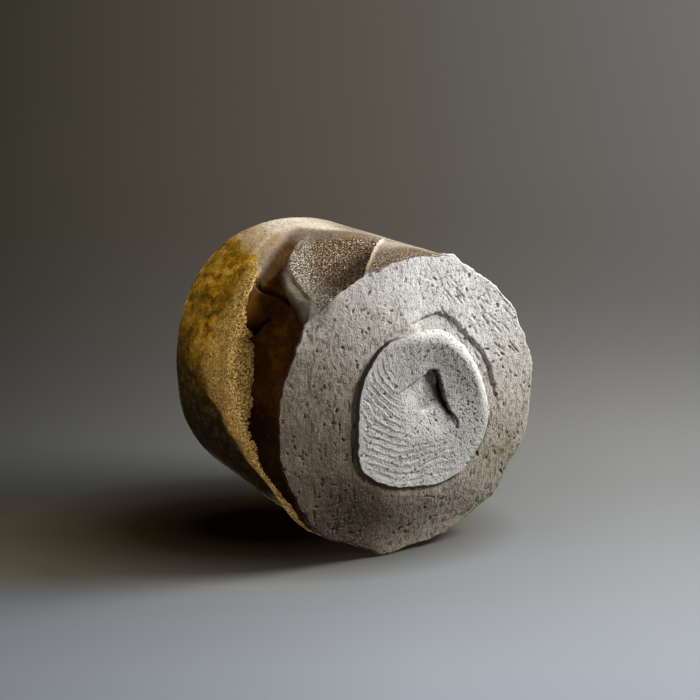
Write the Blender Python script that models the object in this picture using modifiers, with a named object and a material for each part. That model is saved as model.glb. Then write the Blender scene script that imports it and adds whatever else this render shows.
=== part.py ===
"""A small hand-carved stoneware sake cup, standing upright on its foot pad.

The mouth faces +Z. The origin is under the middle of the cup, at the level that the foot pad
stands on. The wall leans a little, as it was carved by hand: its axis runs from the middle of the
slab's face to the middle of the mouth. Lengths are in metres and angles in degrees. An azimuth
turns about +Z from +X, and a height above the slab is measured from the slab's lower face.
"""
import math

import bmesh
import bpy
from mathutils import Matrix, Vector

# Overall form
CUP_HEIGHT = 0.0504
SLAB_RADIUS = 0.0333
RIM_RADIUS = 0.0314
RIM_WALL = 0.0042
RIM_ROUND = 0.0014
AXIS_FOOT = (0.0004, 0.0004)
MOUTH_SHIFT = (0.0009, -0.0028)

# Layers, from the foot upwards
FOOT_THICKNESS = 0.0015
SEAT_GAP = 0.0003
SLAB_THICKNESS = 0.0070
SLAB_EDGE_ROUND = 0.0010
BOWL_FLOOR = 0.0067
GLAZE_THICKNESS = 0.0005

# Bowl: how square the turned hollow is, towards its floor and towards its wall
BOWL_FLOOR_POWER = 3.0
BOWL_WALL_POWER = 2.0
BOWL_GLAZE_RIM_MARGIN = 0.0020

# Undercut between wall and slab: azimuth, height above the slab and half width along its path
UNDERCUT = (
    (-66.0, 0.0310, 0.0008),
    (-73.0, 0.0283, 0.0018),
    (-80.0, 0.0250, 0.0030),
    (-87.0, 0.0198, 0.0052),
    (-92.0, 0.0152, 0.0078),
    (-97.0, 0.0124, 0.0102),
    (-103.0, 0.0113, 0.0102),
    (-110.0, 0.0104, 0.0095),
    (-124.0, 0.0089, 0.0080),
    (-138.0, 0.0071, 0.0062),
    (-152.0, 0.0053, 0.0045),
    (-166.0, 0.0039, 0.0030),
    (-180.0, 0.0032, 0.0008),
)
UNDERCUT_OFFSET = 0.0012

# Scoop above the slab's edge, and the flatter cut beside it
SCOOP_AZIMUTH = -58.0
SCOOP_DEPTH = 0.0005
SCOOP_CURVE_RADIUS = 0.0219
SCOOP_CENTRE_HEIGHT = 0.0140
SHOULDER_RISE = 0.0130
SPUR_FOOT = -0.0045
SPUR_SLANT = 41.0

# Knife flats round the slab's edge: azimuth, depth at the slab's face and how far they rise
KNIFE_FLATS = (
    (143.0, 0.0016, 0.0240),
    (110.0, 0.0020, 0.0240),
    (77.0, 0.0017, 0.0200),
    (50.0, 0.0020, 0.0180),
    (22.0, 0.0020, 0.0200),
    (-6.0, 0.0020, 0.0200),
)

# Ash coat on the fire side
ASH_FIRST_AZIMUTH = -186.0
ASH_LAST_AZIMUTH = -68.0
ASH_RIM_MARGIN = 0.0024

# Foot pad: its outline, and the scoop in its standing face
PAD_OUTLINE = (
    (-0.0130, -0.0071),
    (-0.0055, -0.0138),
    (0.0026, -0.0170),
    (0.0087, -0.0135),
    (0.0158, -0.0076),
    (0.0172, 0.0020),
    (0.0137, 0.0144),
    (0.0015, 0.0213),
    (-0.0114, 0.0129),
    (-0.0172, 0.0000),
)
PAD_SCOOP_OUTLINE = (
    (0.0084, -0.0030),
    (0.0045, 0.0113),
    (-0.0022, 0.0134),
    (-0.0082, 0.0065),
    (-0.0034, -0.0043),
)
PAD_SCOOP_CORNERS = (0, 1, 4)
PAD_SCOOP_DEPTH = 0.0013
PAD_SCOOP_SLANT = 5.5
PAD_SCOOP_AZIMUTH = 15.0
PAD_SCOOP_STEP = 0.0073

# Fineness of the surfaces
TURN_STEPS = 64
BOWL_POINTS = 12
ROUND_POINTS = 4
CURVE_STEPS = 4
TUBE_RESOLUTION = 4
SCOOP_SIDES = 96
MERGE_DISTANCE = 0.00001
CUTTER_REACH = 0.0800

FACE_HEIGHT = FOOT_THICKNESS + SEAT_GAP
BODY_BOTTOM = FACE_HEIGHT + SLAB_THICKNESS + SEAT_GAP
BOWL_BOTTOM = BODY_BOTTOM + BOWL_FLOOR
BOWL_RADIUS = RIM_RADIUS - RIM_WALL
WALL_HEIGHT = CUP_HEIGHT - FACE_HEIGHT


def clear_scene():
    for obj in list(bpy.data.objects):
        bpy.data.objects.remove(obj, do_unlink=True)


def new_collection(name):
    collection = bpy.data.collections.new(name)
    bpy.context.scene.collection.children.link(collection)
    return collection


def new_material(name, colour, roughness):
    material = bpy.data.materials.new(name)
    material.use_nodes = True
    shader = material.node_tree.nodes["Principled BSDF"]
    shader.inputs["Base Color"].default_value = (*colour, 1.0)
    shader.inputs["Roughness"].default_value = roughness
    shader.inputs["Metallic"].default_value = 0.0
    material.diffuse_color = (*colour, 1.0)
    return material


def lean():
    """Shift each level along the leaning axis, from the slab's face to the mouth."""
    slope = [shift / WALL_HEIGHT for shift in MOUTH_SHIFT]
    to_axis = Matrix.Translation((*AXIS_FOOT, FACE_HEIGHT))
    return to_axis @ Matrix.Shear("XY", 4, slope) @ Matrix.Translation((0.0, 0.0, -FACE_HEIGHT))


def wall_radius(height):
    """The outside of the cup at a height above the slab, which narrows towards the mouth."""
    return SLAB_RADIUS + (RIM_RADIUS - SLAB_RADIUS) * height / WALL_HEIGHT


def evaluated_mesh(source):
    """The mesh that an object shows with its modifiers, in place of the object."""
    bpy.context.scene.collection.objects.link(source)
    graph = bpy.context.evaluated_depsgraph_get()
    mesh = bpy.data.meshes.new_from_object(source.evaluated_get(graph))
    bpy.data.objects.remove(source, do_unlink=True)
    return mesh


def turned(name, profile, closed=False):
    """Turn (radius, height) points, which run down the outer side, about the leaning axis."""
    mesh = bpy.data.meshes.new(name + "_profile")
    edges = [(index, index + 1) for index in range(len(profile) - 1)]
    if closed:
        edges.append((len(profile) - 1, 0))
    mesh.from_pydata([(radius, 0.0, height) for radius, height in profile], edges, [])
    source = bpy.data.objects.new(name + "_profile", mesh)
    screw = source.modifiers.new("Turn", "SCREW")
    screw.steps = TURN_STEPS
    screw.render_steps = TURN_STEPS
    screw.use_merge_vertices = True
    screw.merge_threshold = MERGE_DISTANCE
    screw.use_smooth_shade = True
    solid = evaluated_mesh(source)
    solid.transform(lean())
    return bpy.data.objects.new(name, solid)


def solid_from_curve(name, curve):
    """Make a closed mesh object of a curve with caps, and remove the curve."""
    mesh = evaluated_mesh(bpy.data.objects.new(name + "_curve", curve))
    shape = bmesh.new()
    shape.from_mesh(mesh)
    bmesh.ops.remove_doubles(shape, verts=shape.verts, dist=MERGE_DISTANCE)
    bmesh.ops.recalc_face_normals(shape, faces=shape.faces)
    shape.to_mesh(mesh)
    shape.free()
    return bpy.data.objects.new(name, mesh)


def smooth_spline(curve, points, radii=None, corners=None):
    """Add a Bezier spline through the points, closed and with corners where these are given."""
    spline = curve.splines.new("BEZIER")
    spline.bezier_points.add(len(points) - 1)
    spline.use_cyclic_u = corners is not None
    spline.resolution_u = CURVE_STEPS
    for index, point in enumerate(points):
        knot = spline.bezier_points[index]
        handle = "VECTOR" if corners and index in corners else "AUTO"
        knot.co = point
        knot.handle_left_type = handle
        knot.handle_right_type = handle
        if radii:
            knot.radius = radii[index]


def flat_solid(name, outline, thickness, corners=()):
    """Make a plate of a smooth closed outline, centred on the plane of its outline."""
    curve = bpy.data.curves.new(name, "CURVE")
    curve.dimensions = "2D"
    curve.fill_mode = "BOTH"
    curve.extrude = thickness / 2
    smooth_spline(curve, [(x, y, 0.0) for x, y in outline], corners=corners)
    return solid_from_curve(name, curve)


def box(name, size):
    """Make a cube of the given size, centred on its origin."""
    mesh = bpy.data.meshes.new(name)
    shape = bmesh.new()
    bmesh.ops.create_cube(shape, size=size)
    shape.to_mesh(mesh)
    shape.free()
    return bpy.data.objects.new(name, mesh)


def rod(name, radius, length):
    """Make a cylinder along its own Y axis, centred on its origin."""
    mesh = bpy.data.meshes.new(name)
    shape = bmesh.new()
    bmesh.ops.create_cone(
        shape,
        cap_ends=True,
        segments=SCOOP_SIDES,
        radius1=radius,
        radius2=radius,
        depth=length,
        matrix=Matrix.Rotation(math.radians(90.0), 4, "X"),
    )
    shape.to_mesh(mesh)
    shape.free()
    return bpy.data.objects.new(name, mesh)


def turn(azimuth):
    return Matrix.Rotation(math.radians(azimuth), 4, "Z")


def at_slab(azimuth, outward, height=0.0):
    """A place on the slab's face or above it, with X pointing outward at an azimuth."""
    middle = Matrix.Translation((*AXIS_FOOT, FACE_HEIGHT + height))
    return middle @ turn(azimuth) @ Matrix.Translation((outward, 0.0, 0.0))


def cut(obj, *cutters):
    for cutter in cutters:
        boolean = obj.modifiers.new(cutter.name, "BOOLEAN")
        boolean.operation = "DIFFERENCE"
        boolean.solver = "EXACT"
        boolean.object = cutter


def bowl_curve(outward):
    """Points of the bowl's hollow from its floor to the mouth, moved outward into the clay."""
    depth = CUP_HEIGHT - BOWL_BOTTOM
    points = []
    for index in range(BOWL_POINTS + 1):
        angle = math.radians(90.0) * index / BOWL_POINTS
        radius = BOWL_RADIUS * math.sin(angle) ** (2 / BOWL_WALL_POWER)
        drop = depth * math.cos(angle) ** (2 / BOWL_FLOOR_POWER)
        points.append(Vector((radius, CUP_HEIGHT - drop)))
    moved = []
    for index, point in enumerate(points):
        before = points[max(index - 1, 0)]
        after = points[min(index + 1, BOWL_POINTS)]
        along = (after - before).normalized()
        moved.append(point + outward * Vector((along.y, -along.x)))
    moved[0] = Vector((0.0, points[0].y - outward))
    return [(point.x, point.y) for point in moved]


def below(points, top):
    """The part of a rising curve that lies below a height, ending on that height."""
    kept = [point for point in points if point[1] < top]
    last = kept[-1]
    after = points[len(kept)]
    share = (top - last[1]) / (after[1] - last[1])
    return kept + [(last[0] + share * (after[0] - last[0]), top)]


def rounded_corner(centre, radius, first, last):
    """Points of an arc in the turning plane, from one angle to another."""
    points = []
    for index in range(ROUND_POINTS + 1):
        angle = math.radians(first + (last - first) * index / ROUND_POINTS)
        points.append((centre[0] + radius * math.cos(angle), centre[1] + radius * math.sin(angle)))
    return points


def on_path(azimuth, radius, height):
    """A point at an azimuth and a radius about the leaning axis."""
    return lean() @ turn(azimuth) @ Vector((radius, 0.0, height))


def undercut_cutter():
    """The tool path of the undercut: a tube of unit depth, scaled to its half width at each point."""
    curve = bpy.data.curves.new("undercut", "CURVE")
    curve.dimensions = "3D"
    curve.bevel_depth = 1.0
    curve.bevel_resolution = TUBE_RESOLUTION
    curve.use_fill_caps = True
    points = [
        on_path(azimuth, wall_radius(height) + UNDERCUT_OFFSET, FACE_HEIGHT + height)
        for azimuth, height, half_width in UNDERCUT
    ]
    smooth_spline(curve, points, [half_width for azimuth, height, half_width in UNDERCUT])
    return solid_from_curve("undercut", curve)


def apron_cutter():
    """Everything in the wall's skin below the undercut's path, where no ash settled."""
    shape = bmesh.new()
    sections = []
    for azimuth, height, half_width in UNDERCUT:
        inner = wall_radius(height) - RIM_WALL
        outer = wall_radius(height) + RIM_WALL
        top = FACE_HEIGHT + height
        corners = ((inner, top), (outer, top), (outer, 0.0), (inner, 0.0))
        sections.append([shape.verts.new(on_path(azimuth, *corner)) for corner in corners])
    shape.faces.new(sections[0])
    shape.faces.new(sections[-1])
    for here, there in zip(sections, sections[1:]):
        for first, second in ((0, 1), (1, 2), (2, 3), (3, 0)):
            shape.faces.new((here[first], here[second], there[second], there[first]))
    bmesh.ops.recalc_face_normals(shape, faces=shape.faces)
    mesh = bpy.data.meshes.new("apron")
    shape.to_mesh(mesh)
    shape.free()
    return bpy.data.objects.new("apron", mesh)


def scoop_cutter(spur):
    """The hollow stroke above the slab's edge, which ends at the slanting spur."""
    obj = rod("scoop", SCOOP_CURVE_RADIUS, 2 * CUTTER_REACH)
    edge = SLAB_RADIUS - SCOOP_DEPTH
    axis = edge + math.sqrt(SCOOP_CURVE_RADIUS**2 - SCOOP_CENTRE_HEIGHT**2)
    obj.matrix_world = at_slab(SCOOP_AZIMUTH, axis, SCOOP_CENTRE_HEIGHT)
    cut(obj, spur)
    return obj


def spur_cutter():
    """Everything beyond the slanting line where the scoop's stroke ended."""
    obj = box("spur", 2 * CUTTER_REACH)
    obj.matrix_world = (
        at_slab(SCOOP_AZIMUTH, 0.0)
        @ Matrix.Translation((0.0, SPUR_FOOT, 0.0))
        @ Matrix.Rotation(math.radians(-SPUR_SLANT), 4, "X")
        @ Matrix.Translation((0.0, CUTTER_REACH, 0.0))
    )
    return obj


def slanted_flat(name, azimuth, depth, rise):
    """A knife flat that bites deepest at the slab's face and leaves the wall higher up."""
    obj = box(name, 2 * CUTTER_REACH)
    obj.matrix_world = (
        at_slab(azimuth, SLAB_RADIUS - depth)
        @ Matrix.Rotation(math.atan2(depth, rise), 4, "Y")
        @ Matrix.Translation((CUTTER_REACH, 0.0, 0.0))
    )
    return obj


def half_space(name, azimuth, side, gap):
    """Everything on one side of an upright plane through the axis, a gap away from it."""
    obj = box(name, 2 * CUTTER_REACH)
    beside = Matrix.Translation((0.0, side * (CUTTER_REACH + gap), 0.0))
    obj.matrix_world = at_slab(azimuth, 0.0) @ beside
    return obj


def ash_ring(name, inward, outward, margin):
    """A ring in the wall's skin, as deep and tall as the ash coat or as its bed."""
    top = CUP_HEIGHT - ASH_RIM_MARGIN + margin
    bottom = BODY_BOTTOM + SEAT_GAP - margin
    top_radius = wall_radius(top - FACE_HEIGHT)
    bottom_radius = wall_radius(bottom - FACE_HEIGHT)
    profile = [
        (top_radius + outward, top),
        (bottom_radius + outward, bottom),
        (bottom_radius - inward, bottom),
        (top_radius - inward, top),
    ]
    return turned(name, profile, closed=True)


def cup_body():
    clay_hollow = bowl_curve(GLAZE_THICKNESS + SEAT_GAP)[:-1]
    mouth = clay_hollow[-1][0]
    rim_inside = rounded_corner(
        (mouth + RIM_ROUND, CUP_HEIGHT - RIM_ROUND), RIM_ROUND, 180.0, 90.0
    )
    rim_outside = rounded_corner(
        (RIM_RADIUS - RIM_ROUND, CUP_HEIGHT - RIM_ROUND), RIM_ROUND, 90.0, 0.0
    )
    foot = [(wall_radius(BODY_BOTTOM - FACE_HEIGHT), BODY_BOTTOM), (0.0, BODY_BOTTOM)]
    return turned("cup_body", clay_hollow + rim_inside + rim_outside + foot)


def base_slab():
    top = FACE_HEIGHT + SLAB_THICKNESS
    edge = rounded_corner(
        (SLAB_RADIUS - SLAB_EDGE_ROUND, FACE_HEIGHT + SLAB_EDGE_ROUND), SLAB_EDGE_ROUND, 0.0, -90.0
    )
    shoulder = [(0.0, top), (wall_radius(SLAB_THICKNESS), top)]
    return turned("base_slab", shoulder + edge + [(0.0, FACE_HEIGHT)])


def foot_pad():
    obj = flat_solid("foot_pad", PAD_OUTLINE, FOOT_THICKNESS)
    obj.location = (0.0, 0.0, FOOT_THICKNESS / 2)
    return obj


def pad_scoop_cutter():
    """The scoop in the pad, deep on one side and rising to nothing on the other."""
    obj = flat_solid("pad_scoop", PAD_SCOOP_OUTLINE, FOOT_THICKNESS, PAD_SCOOP_CORNERS)
    obj.matrix_world = (
        turn(PAD_SCOOP_AZIMUTH)
        @ Matrix.Translation((PAD_SCOOP_STEP, 0.0, PAD_SCOOP_DEPTH - FOOT_THICKNESS / 2))
        @ Matrix.Rotation(math.radians(-PAD_SCOOP_SLANT), 4, "Y")
        @ Matrix.Translation((-PAD_SCOOP_STEP, 0.0, 0.0))
        @ turn(-PAD_SCOOP_AZIMUTH)
    )
    return obj


def ash_glaze():
    return ash_ring("ash_glaze", GLAZE_THICKNESS, 0.0, 0.0)


def bowl_glaze():
    top = CUP_HEIGHT - BOWL_GLAZE_RIM_MARGIN
    inside = below(bowl_curve(0.0), top)
    outside = below(bowl_curve(GLAZE_THICKNESS), top)
    return turned("bowl_glaze", inside + outside[::-1])


def main():
    clear_scene()
    cup = new_collection("sake_cup")
    cutters = new_collection("sake_cup_cutters")

    body = cup_body()
    slab = base_slab()
    pad = foot_pad()
    ash = ash_glaze()
    lining = bowl_glaze()

    undercut = undercut_cutter()
    apron = apron_cutter()
    spur = spur_cutter()
    scoop = scoop_cutter(spur)
    shoulder = slanted_flat("shoulder", SCOOP_AZIMUTH, SCOOP_DEPTH, SHOULDER_RISE)
    flats = [slanted_flat("knife_flat", *sizes) for sizes in KNIFE_FLATS]
    pad_scoop = pad_scoop_cutter()
    ash_ends = [
        half_space("ash_first", ASH_FIRST_AZIMUTH, -1, 0.0),
        half_space("ash_last", ASH_LAST_AZIMUTH, 1, 0.0),
    ]
    bed_ends = [
        half_space("bed_first", ASH_FIRST_AZIMUTH, -1, SEAT_GAP),
        half_space("bed_last", ASH_LAST_AZIMUTH, 1, SEAT_GAP),
    ]
    bed = ash_ring("ash_bed", GLAZE_THICKNESS + SEAT_GAP, RIM_WALL, SEAT_GAP)

    cut(bed, *bed_ends)
    cut(body, undercut, scoop, shoulder, *flats, bed)
    cut(slab, undercut, scoop, shoulder, *flats)
    cut(pad, pad_scoop)
    cut(ash, *ash_ends, undercut, apron)

    finishes = (
        (body, (0.30, 0.25, 0.19), 0.75),
        (slab, (0.34, 0.31, 0.27), 0.85),
        (pad, (0.38, 0.36, 0.33), 0.85),
        (ash, (0.32, 0.20, 0.05), 0.35),
        (lining, (0.24, 0.21, 0.12), 0.25),
    )
    for obj, colour, roughness in finishes:
        cup.objects.link(obj)
        obj.data.materials.append(new_material(obj.name + "_finish", colour, roughness))
    for obj in (undercut, apron, spur, scoop, shoulder, *flats, pad_scoop, bed, *ash_ends, *bed_ends):
        cutters.objects.link(obj)
        obj.hide_render = True
        obj.display_type = "WIRE"


main()
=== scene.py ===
import math

import bpy
import numpy as np
from mathutils import Matrix, Vector
from mathutils.kdtree import KDTree


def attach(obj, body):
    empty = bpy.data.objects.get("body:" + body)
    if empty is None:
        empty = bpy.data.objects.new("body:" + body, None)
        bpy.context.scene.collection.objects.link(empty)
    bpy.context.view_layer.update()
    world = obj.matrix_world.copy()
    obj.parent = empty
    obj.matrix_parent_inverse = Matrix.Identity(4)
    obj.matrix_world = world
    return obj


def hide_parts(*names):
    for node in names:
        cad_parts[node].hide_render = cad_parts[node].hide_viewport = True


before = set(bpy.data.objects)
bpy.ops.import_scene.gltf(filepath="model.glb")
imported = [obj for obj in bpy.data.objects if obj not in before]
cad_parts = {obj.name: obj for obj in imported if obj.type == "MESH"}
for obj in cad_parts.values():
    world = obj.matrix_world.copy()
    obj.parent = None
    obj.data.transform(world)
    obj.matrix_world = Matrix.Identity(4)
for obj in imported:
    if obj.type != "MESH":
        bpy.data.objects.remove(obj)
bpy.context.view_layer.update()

# The carved form in millimetres and degrees: heights are above the slab's face, azimuths turn about +Z
MM = 0.001
FACE_LEVEL = 1.8
WALL_HEIGHT = 48.6
SLAB_RADIUS = 33.3
RIM_RADIUS = 31.4
RIM_WALL = 4.2
RIM_ROUND = 1.4
EDGE_ROUND = 0.4
SLAB_THICKNESS = 7.15
AXIS_FOOT = np.array([0.4, 0.4])
MOUTH_SHIFT = np.array([0.9, -2.8])
BOWL_RADIUS = RIM_RADIUS - RIM_WALL
BOWL_BOTTOM = 14.0
LINING = 0.35
LINING_BACK = 0.25
LINING_RIM_MARGIN = 2.0
BOWL_RIM_MARGIN = 0.8

# Undercut: azimuth, height and half width along its path
UNDERCUT = np.array([
    (-76, 24.5, 2), (-80, 22.5, 4.2), (-86, 19, 8.2), (-92, 15.8, 10.6), (-97, 13.2, 12),
    (-103, 11.8, 11.6), (-110, 10.6, 10.5), (-117, 9.7, 9.6), (-124, 8.9, 8.6), (-131, 8.1, 7.9),
    (-139, 7.2, 7.1), (-145, 6.4, 6.3), (-153, 5.3, 5), (-160, 4.5, 4.2), (-169, 3.8, 3.5),
    (-180, 3.2, 0.8),
])
UNDERCUT_OFFSET = 1.2
UNDERCUT_BLEND = 0.6

# Ridge between the undercut and the scoop: height and azimuth
RIDGE = np.array([
    (0.1, -100.8), (0.7, -95.9), (2.2, -93.1), (5.1, -89.8), (7.8, -87.3), (11.3, -85.1),
    (16.3, -82.8), (21, -80), (26, -76), (30, -68),
])
RIDGE_SLOPE = 1.5

# How far the hand-turned rim stands out of a circle: azimuth and shift
RIM_SHIFT = np.array([
    (-10, 0), (-44, 0.4), (-60, 1.1), (-68, 1.5), (-76, 1.9), (-84, 1.8), (-92, 1.6), (-100, 1.3),
    (-108, 0.8), (-116, 0.3), (-124, -0.2), (-140, -0.5), (-156, 0), (-180, -0.3), (-196, -0.4), (-225, 0),
])

# Scoop above the slab's edge, the spur that ends it, and the flatter cut beside it
SCOOP_AZIMUTH = -58.0
SCOOP_SPREAD = 45.0
SCOOP_DEPTH = 0.5
SCOOP_CURVE_RADIUS = 21.9
SCOOP_CENTRE_HEIGHT = 14.0
SCOOP_BLEND = 0.35
SHOULDER_RISE = 13.0
SHOULDER_BLEND = 0.5
SPUR_FOOT = -5.6
SPUR_SLOPE = math.tan(math.radians(42.5))
SPUR_BURR = 0.7

# Knife flats round the slab: azimuth, depth at the face and how far they rise
KNIFE_FLATS = (
    (160, 1.4, 24), (128, 2.2, 24), (107, 2, 24), (77, 1.9, 20), (50, 1.3, 18), (22, 1, 20), (-6, 1, 20),
)
FLAT_BLEND = 1.2
NO_FLAT = 1e3

# Crease above the lip: azimuth and height
CREASE = np.array([
    (-112, 25.4), (-124, 25.1), (-133, 24.4), (-145, 25), (-150, 23.9), (-154, 20.6),
    (-157, 17.9), (-159.5, 14.5), (-162, 11.8), (-170, 9.3), (-180, 7.5),
])
CREASE_STEP = 0.9
LIP_ROLL = 0.35
LIP_BULGE = 0.9

# Upper edge of the sandy lip: azimuth and height
STRAND = np.array([
    (-84, 31), (-92, 29.8), (-100, 27.8), (-108, 26.4), (-116, 25.2), (-124, 23.6), (-131, 21.4),
    (-142, 20.5), (-147, 15.8), (-153, 13.6), (-160, 12.6), (-170, 11), (-182, 9.5),
])

# Upper edge of the sand strewn above the lip: azimuth and height
SAND_EDGE = np.array([
    (-84, 31.5), (-96, 29.8), (-102, 30.2), (-108, 31.6), (-113, 32.5), (-118, 34), (-127, 34.2),
    (-132, 33.4), (-138, 31.8), (-143, 26), (-150, 19), (-160, 14), (-182, 10),
])

# Lower edge of the ash coat: azimuth and height
COAT_EDGE = np.array([
    (-84, 28.7), (-86, 28.1), (-92, 27.1), (-97, 25.4), (-103, 24), (-110, 22.1), (-117, 19.5),
    (-124, 17.4), (-131, 15.9), (-139, 14.7), (-145, 13.5), (-153, 11.1), (-160, 9), (-169, 7),
    (-177, 4.6), (-184, 3.6),
])

# Side of the ash coat towards the scoop: height and azimuth
COAT_SIDE = np.array([
    (28, -84.5), (30.1, -81), (32.3, -78), (34.2, -75), (36, -74), (41, -73), (48, -71),
])

# Soft crest above the scoop, below which the wall falls in: azimuth and height
CREST = np.array([(-40, 42), (-58, 38.4), (-70, 34.6), (-78, 32.8), (-86, 30)])
CREST_FALL = 1.3

# Lower edge of the pale part of the wall: azimuth, height and half the width of its blend
PALE_EDGE = np.array([
    (-10, 15, 6), (-30, 26, 5), (-38, 30, 3), (-45, 33, 2.2), (-50, 36.6, 1.9),
    (-54, 38.5, 1.9), (-60, 36.6, 1.8), (-64, 34.8, 1.5), (-69, 33.4, 1.2), (-74, 32.2, 1),
    (-77, 31.5, 0.9), (-84, 29.6, 0.9), (-96, 28, 0.9),
])

# Left edge of the scoop: height, and how far along the scoop it lies
ARRIS = np.array([
    (0, -17), (13.8, -14.5), (16.7, -13.4), (21, -12.4), (24.9, -9.7), (28.7, -6.3), (33, -0.6), (36, 6),
])

# Two short tears in the undercut: azimuth and height
TEARS = (
    ((-83.5, 29.2), (-85.5, 27), (-86.6, 25.2), (-85, 24.4), (-84, 23.1), (-84, 21.2), (-86, 19.2)),
    ((-93, 22.9), (-98, 23.3), (-103, 23.1), (-107, 23.4)),
)
TEAR_HALF_WIDTH = 0.7
TEAR_DEPTH = 1.3

# Neck between undercut and scoop, where the slab's face is rounded towards its edge
NECK_AZIMUTH = -87.0
NECK_ROUND_AZIMUTH = -93.0
NECK_ROUND_REACH = 4.5

# Two directions in the slab's face, across and up as the photograph is seen
ACROSS = np.array([math.sqrt(0.5), math.sqrt(0.5)])
UPWARD = np.array([math.sqrt(0.5), -math.sqrt(0.5)])

# Fineness of the grids
COLUMNS = 640
FACE_SHARES = np.concatenate([np.linspace(0.06, 0.38, 6), np.linspace(0.4, 1, 86)])
EDGE_RINGS = 5
SLAB_RINGS = 19
BODY_RINGS = 100
BOWL_RINGS = 34
PAD_COLUMNS = 512
PAD_RINGS = 84
ASH_COLUMNS = 300
ASH_ROWS = 132
LINING_COLUMNS = 320
LINING_RINGS = 56


# Number tools

def smooth(low, high, value):
    """Zero at low and one at high, and level beyond them; low may be the larger."""
    t = np.clip((value - low) / (high - low), 0, 1)
    return t * t * (3 - 2 * t)


def window(value, start, full, fade, end):
    """One from full to fade, falling smoothly to zero at start and end."""
    return smooth(start, full, value) * smooth(end, fade, value)


def bump(value, centre, half_width):
    """One at the centre, falling smoothly to zero at the half width."""
    t = np.clip(1 - ((value - centre) / half_width) ** 2, 0, 1)
    return t * t


def soft_min(a, b, blend):
    t = np.clip(0.5 + 0.5 * (b - a) / blend, 0, 1)
    return b * (1 - t) + a * t - blend * t * (1 - t)


def hashed(cell, seed):
    x, y, z = (cell[..., axis].astype(np.int64).astype(np.uint32) for axis in range(3))
    n = x * np.uint32(374761393) + y * np.uint32(668265263) + z * np.uint32(2246822519)
    n = n + np.uint32(seed * 3266489917 % 4294967296)
    n = (n ^ (n >> np.uint32(15))) * np.uint32(2246822519)
    n = (n ^ (n >> np.uint32(13))) * np.uint32(3266489917)
    return n ^ (n >> np.uint32(16))


def noise(points, size, seed=0):
    """Gradient noise, about -1 to 1, whose lumps are as large as the size."""
    scaled = points / size
    cell = np.floor(scaled)
    inside = scaled - cell
    fade = inside ** 3 * (inside * (inside * 6 - 15) + 10)
    total = np.zeros(points.shape[:-1])
    for corner in np.ndindex(2, 2, 2):
        code = hashed(cell + corner, seed)
        weight = np.ones(points.shape[:-1])
        slope = np.zeros(points.shape[:-1])
        for axis in range(3):
            part = fade[..., axis]
            weight *= part if corner[axis] else 1 - part
            direction = ((code >> np.uint32(10 * axis)) & np.uint32(1023)) / 511.5 - 1
            slope += direction * (inside[..., axis] - corner[axis])
        total += weight * slope
    return total * 1.6


def fractal(points, size, octaves, seed=0):
    total = np.zeros(points.shape[:-1])
    for octave in range(octaves):
        total += noise(points, size / 2 ** octave, seed + octave) / 2 ** octave
    return total


def path_distance(x, y, path):
    """Distance of points from a polyline, and the place along it from 0 to 1."""
    best = np.full(x.shape, 1e9)
    place = np.zeros(x.shape)
    for index in range(len(path) - 1):
        start = np.array(path[index], float)
        step = np.array(path[index + 1], float) - start
        t = np.clip(((x - start[0]) * step[0] + (y - start[1]) * step[1]) / (step @ step), 0, 1)
        distance = np.hypot(x - start[0] - t * step[0], y - start[1] - t * step[1])
        closer = distance < best
        best = np.where(closer, distance, best)
        place = np.where(closer, (index + t) / (len(path) - 1), place)
    return best, place


def wrapped(psi):
    """Azimuths from -270 to 90, so that the carved side is never split."""
    return (psi + 270) % 360 - 270


def looked_up(value, table):
    """The second column of a table whose first column rises."""
    return np.interp(value, table[:, 0], table[:, 1])


def round_wall(psi, table, column=1):
    """A column of a table at each azimuth, where the azimuths of the table fall."""
    return np.interp(-psi, -table[:, 0], table[:, column])


def above_line(psi, height, table):
    """How far a height lies above a line given by azimuth and height."""
    return height - round_wall(psi, table)


# The carved wall

def wall_radius(height):
    return SLAB_RADIUS + (RIM_RADIUS - SLAB_RADIUS) * height / WALL_HEIGHT


def wall_points(psi, height, radius):
    t = height / WALL_HEIGHT
    turn = np.radians(psi)
    return np.stack([
        AXIS_FOOT[0] + MOUTH_SHIFT[0] * t + radius * np.cos(turn),
        AXIS_FOOT[1] + MOUTH_SHIFT[1] * t + radius * np.sin(turn),
        FACE_LEVEL + height,
    ], axis=-1)


def axis_distance(points, height):
    """How far points lie from the leaning axis."""
    x, y = (points[..., axis] - AXIS_FOOT[axis] - MOUTH_SHIFT[axis] * height / WALL_HEIGHT for axis in (0, 1))
    return np.hypot(x, y)


def flat_limit(psi, height, azimuth, reach):
    """How far out a flat lies along each azimuth about the leaning axis."""
    facing = math.radians(azimuth)
    outward = np.array([math.cos(facing), math.sin(facing)])
    shift = (outward @ MOUTH_SHIFT) * height / WALL_HEIGHT
    turn = np.cos(np.radians(psi) - facing)
    return np.where(turn > 0.3, (reach - shift) / np.maximum(turn, 0.3), NO_FLAT)


def unrolled(path):
    """A path of azimuths and heights, with its azimuths as lengths round the slab."""
    return [(math.radians(azimuth) * SLAB_RADIUS, height) for azimuth, height in path]


def undercut_bite(psi, height, spread):
    """How deep the undercut goes into the wall, less than zero outside it."""
    distance, place = path_distance(np.radians(psi) * spread, height, unrolled(UNDERCUT[:, :2]))
    half = np.interp(place, np.linspace(0, 1, len(UNDERCUT)), UNDERCUT[:, 2])
    bite = np.sqrt(np.maximum(half ** 2 - distance ** 2, 0)) - UNDERCUT_OFFSET
    bite = np.where(distance < half, bite, -UNDERCUT_OFFSET - 0.5 * (distance - half))
    left = np.radians(looked_up(height, RIDGE) - psi) * spread
    return np.minimum(bite, RIDGE_SLOPE * left)


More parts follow.
